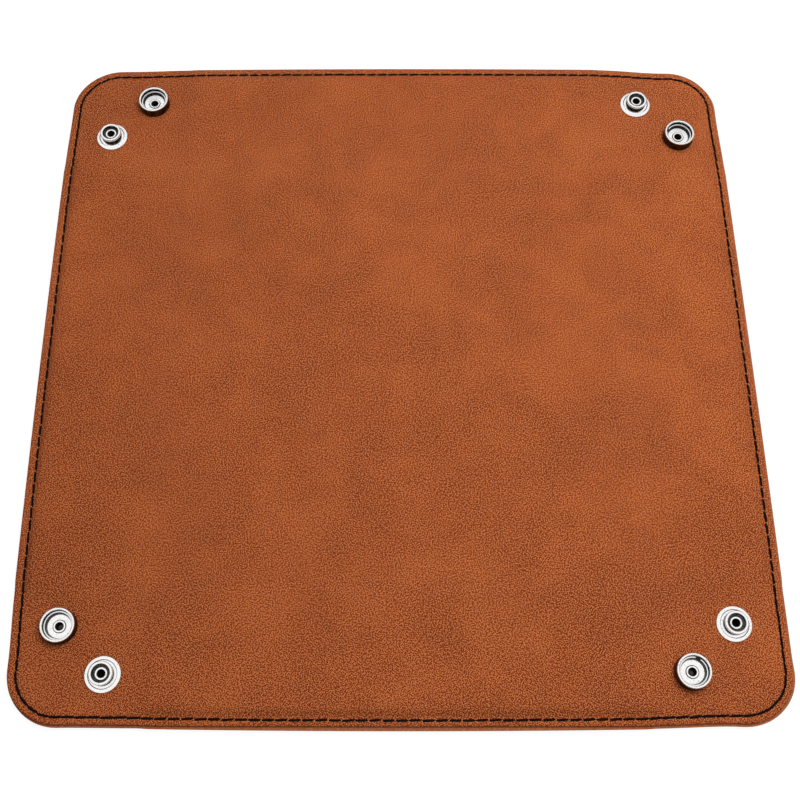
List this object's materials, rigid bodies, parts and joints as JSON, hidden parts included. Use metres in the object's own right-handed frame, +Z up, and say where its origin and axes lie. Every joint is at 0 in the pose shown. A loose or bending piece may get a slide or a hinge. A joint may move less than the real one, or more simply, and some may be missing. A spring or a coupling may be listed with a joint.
{
  "type": "valet tray",
  "caption": "Square snap-up valet tray in brown leatherette, lying flat: board-stiffened base and walls, and soft corners that pinch outwards and snap shut.",
  "frame": {"origin": "on the table under the middle of the base, at the tray's underside", "axes": "+Z up out of the tray, +X to the right wall and +Y to the back wall as in the picture"},
  "size_m": [0.2286, 0.2286, 0.0063],
  "materials": {
    "leatherette": "matte grained leatherette, mottled tan brown",
    "board": "plain grey board",
    "thread": "black twisted thread",
    "nickel": "bright nickel plate",
    "spring_steel": "bright drawn wire"
  },
  "bodies": {
    "base": {"base_top_cover": "leatherette", "base_bottom_cover": "leatherette", "base_board": "board"},
    "right_wall": {"right_wall_top_cover": "leatherette", "right_wall_bottom_cover": "leatherette", "right_wall_board": "board", "right_wall_stitching": "thread"},
    "back_right_socket_side": {"back_right_socket_leaf": "leatherette", "back_right_socket_stitching": "thread", "back_right_socket": "nickel", "back_right_ring_spring": "spring_steel", "back_right_socket_cap": "nickel"},
    "back_right_stud_side": {"back_right_stud_leaf": "leatherette", "back_right_stud_stitching": "thread", "back_right_stud": "nickel", "back_right_stud_eyelet": "nickel"},
    "back_wall": {"back_wall_top_cover": "leatherette", "back_wall_bottom_cover": "leatherette", "back_wall_board": "board", "back_wall_stitching": "thread"},
    "back_left_socket_side": {"back_left_socket_leaf": "leatherette", "back_left_socket_stitching": "thread", "back_left_socket": "nickel", "back_left_ring_spring": "spring_steel", "back_left_socket_cap": "nickel"},
    "back_left_stud_side": {"back_left_stud_leaf": "leatherette", "back_left_stud_stitching": "thread", "back_left_stud": "nickel", "back_left_stud_eyelet": "nickel"},
    "left_wall": {"left_wall_top_cover": "leatherette", "left_wall_bottom_cover": "leatherette", "left_wall_board": "board", "left_wall_stitching": "thread"},
    "front_left_socket_side": {"front_left_socket_leaf": "leatherette", "front_left_socket_stitching": "thread", "front_left_socket": "nickel", "front_left_ring_spring": "spring_steel", "front_left_socket_cap": "nickel"},
    "front_left_stud_side": {"front_left_stud_leaf": "leatherette", "front_left_stud_stitching": "thread", "front_left_stud": "nickel", "front_left_stud_eyelet": "nickel"},
    "front_wall": {"front_wall_top_cover": "leatherette", "front_wall_bottom_cover": "leatherette", "front_wall_board": "board", "front_wall_stitching": "thread"},
    "front_right_socket_side": {"front_right_socket_leaf": "leatherette", "front_right_socket_stitching": "thread", "front_right_socket": "nickel", "front_right_ring_spring": "spring_steel", "front_right_socket_cap": "nickel"},
    "front_right_stud_side": {"front_right_stud_leaf": "leatherette", "front_right_stud_stitching": "thread", "front_right_stud": "nickel", "front_right_stud_eyelet": "nickel"}
  },
  "joints": [
    {"name": "right_wall_fold", "type": "hinge", "parent": "base", "child": "right_wall", "pos_m": [0.0733, 0, 0.00659], "axis": [0, -1, 0], "range_deg": [0, 89]},
    {"name": "back_right_crease", "type": "hinge", "parent": "right_wall", "child": "back_right_socket_side", "pos_m": [0.0938, 0.0733, 0.001], "axis": [-1, 0, 0], "range_deg": [0, 44.5]},
    {"name": "back_right_diagonal", "type": "hinge", "parent": "back_right_socket_side", "child": "back_right_stud_side", "pos_m": [0.0733, 0.0733, 0.00495], "axis": [0.7071, 0.7071, 0], "range_deg": [0, 178]},
    {"name": "back_wall_fold", "type": "hinge", "parent": "base", "child": "back_wall", "pos_m": [0, 0.0733, 0.00659], "axis": [1, 0, 0], "range_deg": [0, 89]},
    {"name": "back_left_crease", "type": "hinge", "parent": "back_wall", "child": "back_left_socket_side", "pos_m": [-0.0733, 0.0938, 0.001], "axis": [0, -1, 0], "range_deg": [0, 44.5]},
    {"name": "back_left_diagonal", "type": "hinge", "parent": "back_left_socket_side", "child": "back_left_stud_side", "pos_m": [-0.0733, 0.0733, 0.00495], "axis": [-0.7071, 0.7071, 0], "range_deg": [0, 178]},
    {"name": "left_wall_fold", "type": "hinge", "parent": "base", "child": "left_wall", "pos_m": [-0.0733, 0, 0.00659], "axis": [0, 1, 0], "range_deg": [0, 89]},
    {"name": "front_left_crease", "type": "hinge", "parent": "left_wall", "child": "front_left_socket_side", "pos_m": [-0.0938, -0.0733, 0.001], "axis": [1, 0, 0], "range_deg": [0, 44.5]},
    {"name": "front_left_diagonal", "type": "hinge", "parent": "front_left_socket_side", "child": "front_left_stud_side", "pos_m": [-0.0733, -0.0733, 0.00495], "axis": [-0.7071, -0.7071, 0], "range_deg": [0, 178]},
    {"name": "front_wall_fold", "type": "hinge", "parent": "base", "child": "front_wall", "pos_m": [0, -0.0733, 0.00659], "axis": [-1, 0, 0], "range_deg": [0, 89]},
    {"name": "front_right_crease", "type": "hinge", "parent": "front_wall", "child": "front_right_socket_side", "pos_m": [0.0733, -0.0938, 0.001], "axis": [0, 1, 0], "range_deg": [0, 44.5]},
    {"name": "front_right_diagonal", "type": "hinge", "parent": "front_right_socket_side", "child": "front_right_stud_side", "pos_m": [0.0733, -0.0733, 0.00495], "axis": [0.7071, -0.7071, 0], "range_deg": [0, 178]}
  ],
  "couplings": [
    {"joint": "back_right_crease", "follows": "right_wall_fold", "ratio": 0.5},
    {"joint": "back_right_diagonal", "follows": "right_wall_fold", "ratio": 2},
    {"joint": "back_wall_fold", "follows": "right_wall_fold", "ratio": 1},
    {"joint": "back_left_crease", "follows": "right_wall_fold", "ratio": 0.5},
    {"joint": "back_left_diagonal", "follows": "right_wall_fold", "ratio": 2},
    {"joint": "left_wall_fold", "follows": "right_wall_fold", "ratio": 1},
    {"joint": "front_left_crease", "follows": "right_wall_fold", "ratio": 0.5},
    {"joint": "front_left_diagonal", "follows": "right_wall_fold", "ratio": 2},
    {"joint": "front_wall_fold", "follows": "right_wall_fold", "ratio": 1},
    {"joint": "front_right_crease", "follows": "right_wall_fold", "ratio": 0.5},
    {"joint": "front_right_diagonal", "follows": "right_wall_fold", "ratio": 2}
  ]
}
